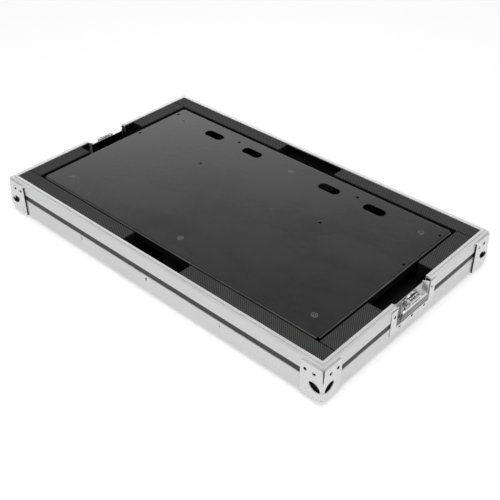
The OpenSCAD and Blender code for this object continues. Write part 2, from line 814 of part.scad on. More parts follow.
// Rounds a corner of the wing's plate with the radius r: the upper one, or the lower one with up = -1
module round_off(y, z, up, r) {
    translate([0, y - r, z - up * r]) mirror([0, 0, up < 0 ? 1 : 0]) difference() {
        span([wing_x - over, 0, 0], [wing_x + wing_t + over, r + over, r + over]);
        along_x(wing_x - 2 * over, wing_x + wing_t + 2 * over, r, 0, 0);
    }
}

// Folding wing: a plate with round upper corners, two arms with knuckles and a cross bar between them
module latch_wing() {
    low_z = wing_pin_z - wing_h;
    low_round_r = 3;
    arm_out = knuckle_y + knuckle_t;
    front_x = wing_x + wing_t;
    color(zinc) difference() {
        union() {
            difference() {
                span([wing_x, -wing_l / 2, low_z], [front_x, wing_l / 2, wing_top_z]);
                for (s = [-1, 1]) quarter(1, s) {
                    round_off(wing_l / 2, wing_top_z, 1, wing_round_r);
                    round_off(wing_l / 2, low_z, -1, low_round_r);
                }
            }
            for (s = [-1, 1]) quarter(1, s) {
                along_y(knuckle_y, arm_out, knuckle_r, wing_pin_x, wing_pin_z);
                span([wing_pin_x, knuckle_y, wing_pin_z - knuckle_r], [front_x, arm_out, wing_pin_z]);
                span([wing_x, knuckle_y, wing_top_z - over], [front_x, arm_out, wing_pin_z]);
            }
            span([wing_x, -arm_out, wing_pin_z - bar_h], [front_x, arm_out, wing_pin_z]);
        }
        along_y(-cheek_y, cheek_y, wing_pin_r + fit, wing_pin_x, wing_pin_z);
    }
}

module wing_pin() {
    head_r = 2.2;
    head_h = 0.8;
    end_y = cheek_y + cheek_t;
    color(steel) {
        along_y(-end_y - fit, end_y + fit, wing_pin_r, wing_pin_x, wing_pin_z);
        along_y(-end_y - head_h, -end_y, head_r, wing_pin_x, wing_pin_z);
        along_y(end_y, end_y + head_h, head_r, wing_pin_x, wing_pin_z);
    }
}

// Torsion spring around the wing's pin, from a leg on the wing's back to a leg on the cam's disc
spring_wire_r = 0.55;
spring_r = 2;
spring_turns = 12;
spring_rings = 8;
spring_sides = 6;
spring_half = knuckle_y - 3 * spring_wire_r;
spring_pitch = 2 * spring_half / spring_turns;
spring_steps = spring_turns * spring_rings;

// Point of the helix at the step i, with its axis along Y and both its ends at the bottom
function helix(i) = [-spring_r * sin(360 * i / spring_rings),
    -spring_half + spring_pitch * i / spring_rings, -spring_r * cos(360 * i / spring_rings)];
function unit(v) = v / norm(v);
wing_leg_end = [wing_x - slide_gap / 3 - wing_pin_x, -spring_half, -spring_r];
disc_leg_end = [disc_front_x - wing_pin_x, spring_half, -spring_r];
spring_route = concat([wing_leg_end], [for (i = [0 : spring_steps]) helix(i)], [disc_leg_end]);
spring_last = len(spring_route) - 1;
spring_gap = min([for (i = [1 : spring_last - spring_rings / 2], j = [i + spring_rings / 2 : spring_last])
    norm(spring_route[j] - spring_route[i])]) - 2 * spring_wire_r;
echo(spring_gap = spring_gap);

// Direction of the wire at the point i: straight along X at the two legs
function wire_way(i) = i <= 1 || i >= spring_last - 1 ? [-1, 0, 0] : unit(helix(i - 0.5) - helix(i - 1.5));

// One ring of the wire, square to its direction at the point i
function wire_ring(i) =
    let(p = spring_route[i], t = wire_way(i), q = helix(i - 1), r = i <= 1 || i >= spring_last - 1
            ? [0, 0, -1] : unit([q[0], 0, q[2]]), b = cross(t, r))
    [for (k = [0 : spring_sides - 1])
        p + spring_wire_r * (cos(360 * k / spring_sides) * r + sin(360 * k / spring_sides) * b)];

module wing_spring() {
    points = [for (i = [0 : spring_last]) each wire_ring(i)];
    last = spring_last * spring_sides;
    sides = [for (i = [0 : spring_last - 1], k = [0 : spring_sides - 1])
        let(a = i * spring_sides + k, b = i * spring_sides + (k + 1) % spring_sides,
            c = a + spring_sides, d = b + spring_sides) each [[a, b, d], [a, d, c]]];
    start_cap = [for (k = [1 : spring_sides - 2]) [0, k + 1, k]];
    end_cap = [for (k = [1 : spring_sides - 2]) [last, last + k, last + k + 1]];
    color(steel) translate([wing_pin_x, 0, wing_pin_z])
        polyhedron(points = points, faces = concat(sides, start_cap, end_cap));
}

base_panel();
long_panel(-1);  // front_panel
long_panel(1);  // back_panel
short_panel(-1);  // left_panel
short_panel(1);  // right_panel
long_rim(-1);  // front_rim
long_rim(1);  // back_rim
short_rim(-1, -1);  // left_rim_front
short_rim(-1, 1);  // left_rim_back
short_rim(1, -1);  // right_rim_front
short_rim(1, 1);  // right_rim_back
long_angle(-1);  // front_angle
long_angle(1);  // back_angle
short_angle(-1);  // left_angle
short_angle(1);  // right_angle
quarter(-1, -1) corner();  // front_left_corner
quarter(1, -1) corner();  // front_right_corner
quarter(-1, 1) corner();  // back_left_corner
quarter(1, 1) corner();  // back_right_corner
corner_rivets();
angle_rivets();
latch_rivets();
floor_foam();
long_foam(-1);  // front_foam
long_foam(1);  // back_foam
short_foam(-1);  // left_foam
short_foam(1);  // right_foam
pedal_plate();
bearer(-bearer_x);  // left_bearer
bearer(0);  // middle_bearer
bearer(bearer_x);  // right_bearer
plate_screws();
latch_side(true) latch_dish();  // left_latch_dish
latch_side(false) latch_dish();  // right_latch_dish
latch_side(true) latch_pivot();  // left_latch_pivot
latch_side(false) latch_pivot();  // right_latch_pivot
latch_side(true) latch_hook();  // left_latch_hook
latch_side(false) latch_hook();  // right_latch_hook
latch_side(true) latch_cam();  // left_latch_cam
latch_side(false) latch_cam();  // right_latch_cam
latch_side(true) latch_wing();  // left_latch_wing
latch_side(false) latch_wing();  // right_latch_wing
latch_side(true) wing_pin();  // left_wing_pin
latch_side(false) wing_pin();  // right_wing_pin
latch_side(true) wing_spring();  // left_wing_spring
latch_side(false) wing_spring();  // right_wing_spring
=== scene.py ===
# Open base of a flight-case style pedal case: finishes, cut foam, studio light and camera
import math

import bpy
import numpy as np
from mathutils import Matrix, Vector


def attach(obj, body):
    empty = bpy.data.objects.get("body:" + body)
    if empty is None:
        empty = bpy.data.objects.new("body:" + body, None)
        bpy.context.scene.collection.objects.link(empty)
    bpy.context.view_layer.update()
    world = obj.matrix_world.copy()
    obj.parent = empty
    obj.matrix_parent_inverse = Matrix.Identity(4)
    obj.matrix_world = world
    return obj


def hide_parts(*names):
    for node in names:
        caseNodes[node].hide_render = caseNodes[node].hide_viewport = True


mm = 0.001

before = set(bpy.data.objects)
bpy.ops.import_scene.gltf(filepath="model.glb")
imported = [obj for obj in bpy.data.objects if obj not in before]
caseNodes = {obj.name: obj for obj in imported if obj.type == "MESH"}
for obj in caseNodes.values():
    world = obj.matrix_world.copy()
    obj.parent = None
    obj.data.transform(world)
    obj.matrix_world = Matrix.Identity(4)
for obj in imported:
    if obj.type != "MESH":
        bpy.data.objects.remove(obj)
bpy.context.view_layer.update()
print("case frame loaded,", len(caseNodes), "pieces")


# Short calls that build a finish. A sheet holds one finish's material, node tree and shader

def newSheet(name):
    material = bpy.data.materials.new(name)
    material.use_nodes = True
    tree = material.node_tree
    tree.nodes.clear()
    shader = tree.nodes.new("ShaderNodeBsdfPrincipled")
    output = tree.nodes.new("ShaderNodeOutputMaterial")
    tree.links.new(shader.outputs["BSDF"], output.inputs["Surface"])
    place = tree.nodes.new("ShaderNodeTexCoord").outputs["Object"]
    return {"material": material, "tree": tree, "shader": shader, "place": place}


def put(sheet, socket, value):
    if isinstance(value, bpy.types.NodeSocket):
        sheet["tree"].links.new(value, socket)
    else:
        socket.default_value = value


def calc(sheet, operation, first, second=0.0):
    node = sheet["tree"].nodes.new("ShaderNodeMath")
    node.operation = operation
    put(sheet, node.inputs[0], first)
    put(sheet, node.inputs[1], second)
    return node.outputs[0]


def blendOf(sheet, parts):  # sum of (value, share)
    total = calc(sheet, "MULTIPLY", parts[0][0], parts[0][1])
    for value, share in parts[1:]:
        total = calc(sheet, "ADD", total, calc(sheet, "MULTIPLY", value, share))
    return total


def cloud(sheet, waves, detail=2.0, roughness=0.5):  # noise; waves per metre along x, y and z
    scaled = sheet["tree"].nodes.new("ShaderNodeVectorMath")
    scaled.operation = "MULTIPLY"
    put(sheet, scaled.inputs[0], sheet["place"])
    scaled.inputs[1].default_value = waves
    node = sheet["tree"].nodes.new("ShaderNodeTexNoise")
    put(sheet, node.inputs["Vector"], scaled.outputs[0])
    node.inputs["Scale"].default_value = 1.0
    node.inputs["Detail"].default_value = detail
    node.inputs["Roughness"].default_value = roughness
    return node.outputs["Fac"]


def between(sheet, value, low, high, outLow=0.0, outHigh=1.0):
    node = sheet["tree"].nodes.new("ShaderNodeMapRange")
    node.clamp = True
    put(sheet, node.inputs["Value"], value)
    limits = {"From Min": low, "From Max": high, "To Min": outLow, "To Max": outHigh}
    for socket, limit in limits.items():
        node.inputs[socket].default_value = limit
    return node.outputs["Result"]


def below(sheet, value, limit, fade):  # 1 up to the limit, then fading to 0
    return between(sheet, value, limit, limit + fade, 1.0, 0.0)


def above(sheet, value, limit, fade):  # 0 up to the limit, then rising to 1
    return between(sheet, value, limit, limit + fade)


def spread(sheet, noise, low=0.0, high=1.0):  # most of a noise lies between 0.3 and 0.7
    return between(sheet, noise, 0.3, 0.7, low, high)


def paint(sheet, share, under, over):
    node = sheet["tree"].nodes.new("ShaderNodeMix")
    node.data_type = "RGBA"
    put(sheet, node.inputs[0], share)
    put(sheet, node.inputs[6], under)
    put(sheet, node.inputs[7], over)
    return node.outputs[2]


def axisOf(sheet, index):
    node = sheet["tree"].nodes.new("ShaderNodeSeparateXYZ")
    put(sheet, node.inputs[0], sheet["place"])
    return node.outputs[index]


def reachOf(sheet, index):  # distance from the case's middle
    return calc(sheet, "ABSOLUTE", axisOf(sheet, index))


def alongWay(sheet, way):  # metres along a direction
    node = sheet["tree"].nodes.new("ShaderNodeVectorMath")
    node.operation = "DOT_PRODUCT"
    put(sheet, node.inputs[0], sheet["place"])
    node.inputs[1].default_value = way
    return node.outputs["Value"]


def roundedNormal(sheet, radius):
    bevel = sheet["tree"].nodes.new("ShaderNodeBevel")
    bevel.samples = 6
    bevel.inputs["Radius"].default_value = radius
    return bevel.outputs["Normal"]


def edgeMask(sheet, rounded):  # 1 along the edges, where the rounded normal leaves the face's own
    shape = sheet["tree"].nodes.new("ShaderNodeNewGeometry")
    facing = sheet["tree"].nodes.new("ShaderNodeVectorMath")
    facing.operation = "DOT_PRODUCT"
    put(sheet, facing.inputs[0], rounded)
    put(sheet, facing.inputs[1], shape.outputs["True Normal"])
    return between(sheet, facing.outputs["Value"], 1.0, 0.86)


def hollows(sheet, reach, closed=0.25, clear=0.8):  # 1 in corners and under edges, 0 on open faces
    node = sheet["tree"].nodes.new("ShaderNodeAmbientOcclusion")
    node.samples = 8
    node.inputs["Distance"].default_value = reach
    return between(sheet, node.outputs["AO"], closed, clear, 1.0, 0.0)


def relief(sheet, height, depth, normal=None):
    node = sheet["tree"].nodes.new("ShaderNodeBump")
    node.inputs["Distance"].default_value = depth
    put(sheet, node.inputs["Height"], height)
    if normal is not None:
        put(sheet, node.inputs["Normal"], normal)
    return node.outputs["Normal"]


def finishSheet(sheet, color, roughness, normal, metallic=0.0, specular=0.5):
    shader = sheet["shader"]
    put(sheet, shader.inputs["Base Color"], color)
    put(sheet, shader.inputs["Roughness"], roughness)
    put(sheet, shader.inputs["Normal"], normal)
    shader.inputs["Metallic"].default_value = metallic
    shader.inputs["Specular IOR Level"].default_value = specular
    return sheet["material"]


def grey(value):
    return (value, value, value, 1.0)


def greys(sheet, share, tones):  # from the first grey to the second
    return paint(sheet, share, grey(tones[0]), grey(tones[1]))


def dress(material, names):
    for name in names:
        for materialSlot in caseNodes[name].material_slots:
            materialSlot.link = "OBJECT"
            materialSlot.material = material


# Metals. Drawn lines run along the axis with the fewest waves, hollows are darkened with painted shade and
# edges are bright

metalBasics = {
    "tone": 0.67, "contrast": 0.06, "metallic": 0.5, "roughness": 0.36, "polished": 0.07, "dulled": 0.09,
    "lines": (260, 260, 260), "lineDepth": 0.02 * mm, "smudges": (14, 14, 22),
    "flecks": (420, 420, 420), "fleckShare": 0.3, "fleckFrom": 0.7, "fleckTo": 0.76, "fleckGlow": 1.35,
    "edgeTone": 0.86, "edgeShare": 0.5, "edgeRadius": 0.5 * mm,
    "paintedShadeShare": 0.18, "paintedShadeReach": 0.9 * mm, "paintedShadeTone": 0.03,
    "soil": (290, 290, 290), "soilShare": 0.0, "soilFrom": 0.47, "soilTo": 0.53, "soilTone": 0.008,
    "legEndX": 0.0, "legEndY": 0.0, "legEndTone": 0.008,
    "insideX": 350.05 * mm, "insideY": 207.05 * mm, "insideTop": 72 * mm, "insideTone": 0.006,
}
metalLooks = {
    "profileAlongX": {"lines": (7, 1100, 1100)},
    "profileAlongY": {"lines": (1100, 7, 1100)},
    "cornerSteel": {"tone": 0.69, "metallic": 0.6, "roughness": 0.3, "contrast": 0.03, "fleckShare": 0.0,
                    "edgeShare": 0.2, "paintedShadeShare": 0.9, "paintedShadeReach": 1.2 * mm,
                    "legEndX": 321.1 * mm, "legEndY": 178.1 * mm},
    "cornerRivet": {"metallic": 1.0, "roughness": 0.16, "tone": 0.74, "paintedShadeShare": 0.9, "paintedShadeReach": 1.6 * mm,
                    "soilShare": 1.0, "soilFrom": 0.55, "soilTo": 0.59},
    "angleRivet": {"metallic": 0.9, "roughness": 0.22, "tone": 0.66, "paintedShadeShare": 0.85, "paintedShadeReach": 1.4 * mm,
                   "soilShare": 0.9, "soilFrom": 0.46, "soilTo": 0.5},
    "latchRivet": {"metallic": 1.0, "roughness": 0.2, "tone": 0.66, "paintedShadeShare": 0.85, "paintedShadeReach": 1.6 * mm,
                   "soilShare": 1.0, "soilFrom": 0.5, "soilTo": 0.54},
    "latchSpring": {"metallic": 1.0, "roughness": 0.24, "tone": 0.5, "paintedShadeShare": 0.95, "paintedShadeReach": 2.5 * mm},
    "latchCam": {"metallic": 0.85, "roughness": 0.26, "lines": (300, 30, 300), "paintedShadeShare": 0.6,
                 "paintedShadeReach": 5 * mm},
    "latchDish": {"metallic": 0.8, "roughness": 0.28, "lines": (300, 30, 300), "paintedShadeShare": 0.6,
                  "paintedShadeReach": 5 * mm},
}


def metalShade(sheet, look):  # colour, roughness and normal of a satin metal
    streaks = cloud(sheet, look["lines"], 3.0, 0.6)
    smudges = cloud(sheet, look["smudges"], 3.0)
    shade = blendOf(sheet, [(streaks, 0.6), (smudges, 0.4)])
    tones = (look["tone"] * (1 - look["contrast"]), look["tone"] * (1 + look["contrast"]))
    color = greys(sheet, spread(sheet, shade), tones)
    if look["fleckShare"] > 0:
        flecks = between(sheet, cloud(sheet, look["flecks"], 1.0), look["fleckFrom"], look["fleckTo"])
        fleckTone = grey(min(1.0, look["tone"] * look["fleckGlow"]))
        color = paint(sheet, calc(sheet, "MULTIPLY", flecks, look["fleckShare"]), color, fleckTone)
    rounded = roundedNormal(sheet, look["edgeRadius"])
    wearAndReflection = calc(sheet, "MULTIPLY", edgeMask(sheet, rounded), look["edgeShare"])
    color = paint(sheet, wearAndReflection, color, grey(look["edgeTone"]))
    # painted shade: hollows, corners and gaps are darkened by occlusion
    paintedShade = calc(sheet, "MULTIPLY", hollows(sheet, look["paintedShadeReach"]), look["paintedShadeShare"])
    color = paint(sheet, paintedShade, color, grey(look["paintedShadeTone"]))
    if look["soilShare"] > 0:  # black soil in blots, as on old rivet heads
        grime = cloud(sheet, look["soil"], 1.0)
        blots = between(sheet, grime, look["soilFrom"], look["soilTo"], look["soilShare"], 0.0)
        color = paint(sheet, blots, color, grey(look["soilTone"]))
    if look["legEndX"] > 0:  # the shaded end walls of a pressed leg
        endX = below(sheet, reachOf(sheet, 0), look["legEndX"], 0.05 * mm)
        endY = below(sheet, reachOf(sheet, 1), look["legEndY"], 0.05 * mm)
        color = paint(sheet, calc(sheet, "MAXIMUM", endX, endY), color, grey(look["legEndTone"]))
    inX = below(sheet, reachOf(sheet, 0), look["insideX"], 0.1 * mm)
    inY = below(sheet, reachOf(sheet, 1), look["insideY"], 0.1 * mm)
    inZ = below(sheet, axisOf(sheet, 2), look["insideTop"] - 0.4 * mm, 0.4 * mm)
    inside = calc(sheet, "MULTIPLY", calc(sheet, "MULTIPLY", inX, inY), inZ)
    color = paint(sheet, inside, color, grey(look["insideTone"]))
    worn = blendOf(sheet, [(streaks, 0.5), (smudges, 0.5)])
    smooth = look["roughness"] - look["polished"]
    rough = look["roughness"] + look["dulled"]
    roughness = spread(sheet, worn, smooth, rough)
    return color, roughness, relief(sheet, streaks, look["lineDepth"], rounded)


def metalFinish(name, changes):
    sheet = newSheet(name)
    look = {**metalBasics, **changes}
    color, roughness, normal = metalShade(sheet, look)
    return finishSheet(sheet, color, roughness, normal, look["metallic"])


metals = {name: metalFinish(name, changes) for name, changes in metalLooks.items()}
dress(metals["profileAlongX"], ["front_rim", "back_rim", "front_angle", "back_angle"])
dress(metals["profileAlongY"], ["left_rim_front", "left_rim_back", "right_rim_front", "right_rim_back",
                                "left_angle", "right_angle"])
dress(metals["cornerSteel"], ["front_left_corner", "front_right_corner",
                              "back_left_corner", "back_right_corner"])
dress(metals["cornerRivet"], ["corner_rivets"])
dress(metals["angleRivet"], ["angle_rivets"])
dress(metals["latchRivet"], ["latch_rivets"])
for side in ("left", "right"):
    dress(metals["latchSpring"], [side + "_wing_pin", side + "_wing_spring"])
    dress(metals["latchCam"], [side + "_latch_cam", side + "_latch_hook"])
print("metal profiles, corners and rivets finished")


# Latch wing: polished edges round a brushed lengthwise band with a painted grey reflection in patches, and
# a painted shadow line along its foot

wingLook = {
    "metallic": 0.85, "roughness": 0.24, "tone": 0.7, "lines": (300, 16, 900), "contrast": 0.1,
    "wearAndReflection": (300, 14, 420), "bandLow": 42.2 * mm, "bandHigh": 54.6 * mm, "bandReflectionTone": 0.1,
    "footShadowTop": 41.9 * mm, "footShadowTone": 0.01,
}


def wingFinish():
    sheet = newSheet("latchWing")
    color, roughness, normal = metalShade(sheet, {**metalBasics, **wingLook})
    height = axisOf(sheet, 2)
    # painted reflection: the band between bandLow and bandHigh is darkened to grey in patches
    band = calc(sheet, "MULTIPLY", above(sheet, height, wingLook["bandLow"], 0.8 * mm),
                below(sheet, height, wingLook["bandHigh"] - 3 * mm, 3 * mm))
    wearAndReflection = between(sheet, cloud(sheet, wingLook["wearAndReflection"], 3.0, 0.6), 0.25, 0.52)
    color = paint(sheet, calc(sheet, "MULTIPLY", band, wearAndReflection), color, grey(wingLook["bandReflectionTone"]))
    # painted shadow: a near-black line along the wing's lower edge
    footShadow = below(sheet, height, wingLook["footShadowTop"], 0.3 * mm)
    color = paint(sheet, footShadow, color, grey(wingLook["footShadowTone"]))
    return finishSheet(sheet, color, roughness, normal, wingLook["metallic"])


wingMetal = wingFinish()
for side in ("left", "right"):
    dress(metals["latchDish"], [side + "_latch_dish", side + "_latch_pivot"])
    dress(wingMetal, [side + "_latch_wing"])
print("latches finished")


# Side panels: dark pebbled laminate outside, black-stained plywood inside and at the cuts

panelLook = {
    "film": (0.03, 0.052), "pebbles": (900, 900, 900), "pebbleDepth": 0.03 * mm, "patches": (18, 18, 30),
    "stripeLow": 38.0 * mm, "ledgeShadowShare": 0.85, "ledgeShadowTone": 0.008,
    "shadeReach": 5 * mm, "shadeShare": 0.9, "shadeTone": 0.004,
    "stain": (0.006, 0.016), "fibres": (60, 60, 700), "faceX": 357.5 * mm, "faceY": 214.5 * mm,
    "roughness": (0.42, 0.54), "edgeRadius": 0.4 * mm,
}


def panelFinish():
    sheet = newSheet("laminatePanel")
    pebble = cloud(sheet, panelLook["pebbles"])
    patches = cloud(sheet, panelLook["patches"])
    tone = between(sheet, blendOf(sheet, [(pebble, 0.7), (patches, 0.3)]), 0.35, 0.65)
    film = greys(sheet, tone, panelLook["film"])
    # painted shadow: a near-black line along the stripe's lower edge, above the angle
    ledge = calc(sheet, "MULTIPLY", below(sheet, axisOf(sheet, 2), panelLook["stripeLow"], 1.6 * mm),
                 panelLook["ledgeShadowShare"])
    film = paint(sheet, ledge, film, grey(panelLook["ledgeShadowTone"]))
    shade = calc(sheet, "MULTIPLY", hollows(sheet, panelLook["shadeReach"], 0.3, 0.62),
                 panelLook["shadeShare"])
    film = paint(sheet, shade, film, grey(panelLook["shadeTone"]))
    outX = calc(sheet, "SUBTRACT", reachOf(sheet, 0), panelLook["faceX"])
    outY = calc(sheet, "SUBTRACT", reachOf(sheet, 1), panelLook["faceY"])
    skin = above(sheet, calc(sheet, "MAXIMUM", outX, outY), 0.0, 0.1 * mm)
    fibre = cloud(sheet, panelLook["fibres"], 3.0)
    wood = greys(sheet, fibre, panelLook["stain"])
    color = paint(sheet, skin, wood, film)
    roughness = spread(sheet, pebble, *panelLook["roughness"])
    rounded = roundedNormal(sheet, panelLook["edgeRadius"])
    normal = relief(sheet, pebble, panelLook["pebbleDepth"], rounded)
    return finishSheet(sheet, color, roughness, normal, specular=0.3)


# Black-stained plywood of the floor and the bearers, its fibres along x or y

woodLook = {
    "stain": (0.012, 0.035), "blotches": (7, 11, 7), "fibreDepth": 0.05 * mm, "roughness": (0.5, 0.65),
    "edgeRadius": 0.4 * mm, "alongX": (9, 420, 420), "alongY": (420, 9, 420),
}


def woodFinish(name, waves):
    sheet = newSheet(name)
    fibre = cloud(sheet, waves, 3.0)
    blotches = cloud(sheet, woodLook["blotches"])
    shade = blendOf(sheet, [(fibre, 0.6), (blotches, 0.4)])
    color = greys(sheet, shade, woodLook["stain"])
    roughness = spread(sheet, shade, *woodLook["roughness"])
    normal = relief(sheet, fibre, woodLook["fibreDepth"], roundedNormal(sheet, woodLook["edgeRadius"]))
    return finishSheet(sheet, color, roughness, normal, specular=0.35)


dress(panelFinish(), ["front_panel", "back_panel", "left_panel", "right_panel"])
dress(woodFinish("floorPlywood", woodLook["alongX"]), ["base_panel"])
dress(woodFinish("bearerPlywood", woodLook["alongY"]), ["left_bearer", "middle_bearer", "right_bearer"])
print("panels and bearers finished")


# Pedal plate: satin black powder coat with fine peel, rubbed patches and a painted highlight along its
# folds

plateLook = {
    "coat": (0.005, 0.009), "roughness": (0.24, 0.31), "peel": (1300, 1300, 1300), "peelDepth": 0.02 * mm,
    "wearAndReflection": (9, 14, 9), "dust": (520, 520, 520), "dustShare": 0.25, "dustTone": 0.06,
    "edgeRadius": 0.8 * mm, "edgeShare": 0.2, "edgeTone": 0.05,
    "endX": 316.5 * mm, "endY": 175.5 * mm, "foldDepth": 3 * mm, "foldHighlightPatches": (30, 30, 30),
    "foldHighlightTone": 0.1, "foldHighlightLow": 69.6 * mm, "foldHighlightHigh": 70.8 * mm,
    "face": 71.4 * mm, "nearBlackTone": 0.002, "cutRoughness": 0.9,
}


def plateFinish():
    sheet = newSheet("blackPowderCoat")
    peel = cloud(sheet, plateLook["peel"])
    wearAndReflection = cloud(sheet, plateLook["wearAndReflection"], 3.0)
    color = greys(sheet, spread(sheet, wearAndReflection), plateLook["coat"])
    dust = between(sheet, cloud(sheet, plateLook["dust"], 1.0), 0.72, 0.78)
    dust = calc(sheet, "MULTIPLY", dust, plateLook["dustShare"])
    color = paint(sheet, dust, color, grey(plateLook["dustTone"]))
    rounded = roundedNormal(sheet, plateLook["edgeRadius"])
    edges = calc(sheet, "MULTIPLY", edgeMask(sheet, rounded), plateLook["edgeShare"])
    color = paint(sheet, edges, color, grey(plateLook["edgeTone"]))
    inX = calc(sheet, "SUBTRACT", plateLook["endX"], reachOf(sheet, 0))
    inY = calc(sheet, "SUBTRACT", plateLook["endY"], reachOf(sheet, 1))
    inwards = calc(sheet, "MINIMUM", inX, inY)
    outer = below(sheet, inwards, plateLook["foldDepth"] - 1 * mm, 1 * mm)
    height = axisOf(sheet, 2)
    # painted highlight: a lighter grey band along the outer folds, in patches
    foldHighlight = calc(sheet, "MULTIPLY", above(sheet, height, plateLook["foldHighlightLow"] - 0.4 * mm, 0.4 * mm),
                below(sheet, height, plateLook["foldHighlightHigh"], 0.3 * mm))
    foldHighlight = calc(sheet, "MULTIPLY", outer, foldHighlight)
    patchyHighlight = between(sheet, cloud(sheet, plateLook["foldHighlightPatches"]), 0.25, 0.6, 0.5, 1.0)
    color = paint(sheet, calc(sheet, "MULTIPLY", foldHighlight, patchyHighlight), color, grey(plateLook["foldHighlightTone"]))
    shine = blendOf(sheet, [(peel, 0.3), (wearAndReflection, 0.7)])
    roughness = spread(sheet, shine, *plateLook["roughness"])
    cuts = calc(sheet, "MULTIPLY", calc(sheet, "SUBTRACT", 1.0, outer),
                below(sheet, height, plateLook["face"] - 0.1 * mm, 0.1 * mm))  # walls of slots and holes
    color = paint(sheet, cuts, color, grey(plateLook["nearBlackTone"]))
    cutRoughness = calc(sheet, "MULTIPLY", cuts, plateLook["cutRoughness"])
    roughness = calc(sheet, "MAXIMUM", roughness, cutRoughness)
    put(sheet, sheet["shader"].inputs["Metallic"], cuts)
    return finishSheet(sheet, color, roughness, relief(sheet, peel, plateLook["peelDepth"], rounded))


screwLook = {
    "tone": (0.03, 0.07), "wear": (700, 700, 700), "wearDepth": 0.02 * mm, "metallic": 0.5,
    "edgeRadius": 0.5 * mm, "edgeShare": 0.9, "edgeTone": 0.9, "paintedShadeReach": 1.6 * mm, "paintedShadeTone": 0.004,
    "roughness": (0.3, 0.45),
}


def screwFinish():
    sheet = newSheet("plateScrew")
    wear = cloud(sheet, screwLook["wear"])
    color = greys(sheet, between(sheet, wear, 0.4, 0.7), screwLook["tone"])
    rounded = roundedNormal(sheet, screwLook["edgeRadius"])
    edges = calc(sheet, "MULTIPLY", edgeMask(sheet, rounded), screwLook["edgeShare"])
    color = paint(sheet, edges, color, grey(screwLook["edgeTone"]))
    # painted shade: the cross recess and the hollows round the head are darkened by occlusion
    color = paint(sheet, hollows(sheet, screwLook["paintedShadeReach"]), color, grey(screwLook["paintedShadeTone"]))
    roughness = spread(sheet, wear, *screwLook["roughness"])
    normal = relief(sheet, wear, screwLook["wearDepth"], rounded)
    return finishSheet(sheet, color, roughness, normal, screwLook["metallic"])


dress(plateFinish(), ["pedal_plate"])
dress(screwFinish(), ["plate_screws"])
print("pedal plate and its screws finished")


# Foam: dark grey closed cells under a skin with fine slanting ribs

foamLook = {
    "tone": (0.006, 0.066), "patches": (16, 16, 16), "roughness": (0.76, 0.9),
    "ribPitch": 2.8 * mm, "ribWay": (0.74, 0.67, 0.35), "ribDepth": 0.35 * mm,
    "wobble": (60, 60, 60), "wobbleReach": 0.6 * mm, "cells": (1500, 1500, 1500), "cellDepth": 0.12 * mm,
    "nearBlackTone": 0.003, "nearBlackTop": 72.2 * mm, "jointY": 179.7 * mm, "jointX": 322 * mm, "jointHalf": 0.8 * mm,
}


def foamFinish():
    sheet = newSheet("ribbedFoam")
    wobble = calc(sheet, "MULTIPLY", cloud(sheet, foamLook["wobble"], 1.0), foamLook["wobbleReach"])
    phase = calc(sheet, "ADD", alongWay(sheet, foamLook["ribWay"]), wobble)
    ribs = calc(sheet, "SINE", calc(sheet, "MULTIPLY", phase, 2 * math.pi / foamLook["ribPitch"]))
    ribs = calc(sheet, "ADD", calc(sheet, "MULTIPLY", ribs, 0.5), 0.5)
    cells = cloud(sheet, foamLook["cells"])
    patches = cloud(sheet, foamLook["patches"])
    tone = between(sheet, blendOf(sheet, [(ribs, 0.45), (cells, 0.35), (patches, 0.2)]), 0.2, 0.8)
    color = greys(sheet, tone, foamLook["tone"])
    # below its top face the foam is near black
    nearBlackBelow = below(sheet, axisOf(sheet, 2), foamLook["nearBlackTop"] - 1.2 * mm, 1.2 * mm)
    # painted shadow: a near-black line in the joints where the strips meet
    offJoint = calc(sheet, "ABSOLUTE", calc(sheet, "SUBTRACT", reachOf(sheet, 1), foamLook["jointY"]))
    jointShadow = calc(sheet, "MULTIPLY", below(sheet, offJoint, foamLook["jointHalf"], 0.4 * mm),
                 above(sheet, reachOf(sheet, 0), foamLook["jointX"] - 0.2 * mm, 0.2 * mm))
    color = paint(sheet, calc(sheet, "MAXIMUM", nearBlackBelow, jointShadow), color, grey(foamLook["nearBlackTone"]))
    roughness = spread(sheet, cells, *foamLook["roughness"])
    normal = relief(sheet, ribs, foamLook["ribDepth"])
    normal = relief(sheet, cells, foamLook["cellDepth"], normal)
    return finishSheet(sheet, color, roughness, normal, specular=0.15)


foamSkin = foamFinish()

# Sizes in mm. near is a strip's inner face, far its outer face, ledge the foot that reaches under the rim
foamSizes = {
    "padLow": 16.5, "padTop": 21.5, "top": 73.0, "ledgeTop": 58.2, "notchFloor": 33.0, "notchHalf": 66.0,
    "long": {"near": 180.0, "far": 206.9, "ledge": 208.4, "end": 349.9},
    "short": {"near": 322.0, "far": 349.7, "ledge": 351.4, "end": 179.4},
    "edgeRound": 0.7, "edgeSegments": 3, "edgeTurn": 40, "step": 12.0,
    "wander": 0.11, "wanderDepth": 12.0, "sag": 0.06, "calmTop": 60.0,
}


# Section points carried along a line: point (i, j) is station i along the strip and section point j across
# it. Cut edges wander sideways by a sum of sines of the distance along, full at the top and nothing at
# wanderDepth below it, and sag by a sine of the same kind
def carried(section, stations, top):
    section = np.asarray(section, float)
    stations = np.asarray(stations, float)
    along = np.repeat(stations, len(section))
    across = np.tile(section[:, 0], len(stations))
    height = np.tile(section[:, 1], len(stations))
    depth = foamSizes["wanderDepth"]
    grip = np.clip((height - top + depth) / depth, 0.0, 1.0)
    wave = np.sin(along / 23.0 + across / 9.0) + 0.6 * np.sin(along / 9.7 + 2.1)
    across = across + foamSizes["wander"] * grip * wave
    height = height - foamSizes["sag"] * grip * (1.0 + np.sin(along / 17.0 + across / 7.0))
    points = np.stack([along, across, height], axis=1)
    rows, columns = np.meshgrid(np.arange(len(stations) - 1), np.arange(len(section)), indexing="ij")
    nextColumn = (columns + 1) % len(section)
    corners = [rows * len(section) + columns, rows * len(section) + nextColumn,
               (rows + 1) * len(section) + nextColumn, (rows + 1) * len(section) + columns]
    return points, np.stack(corners, axis=-1).reshape(-1, 4)


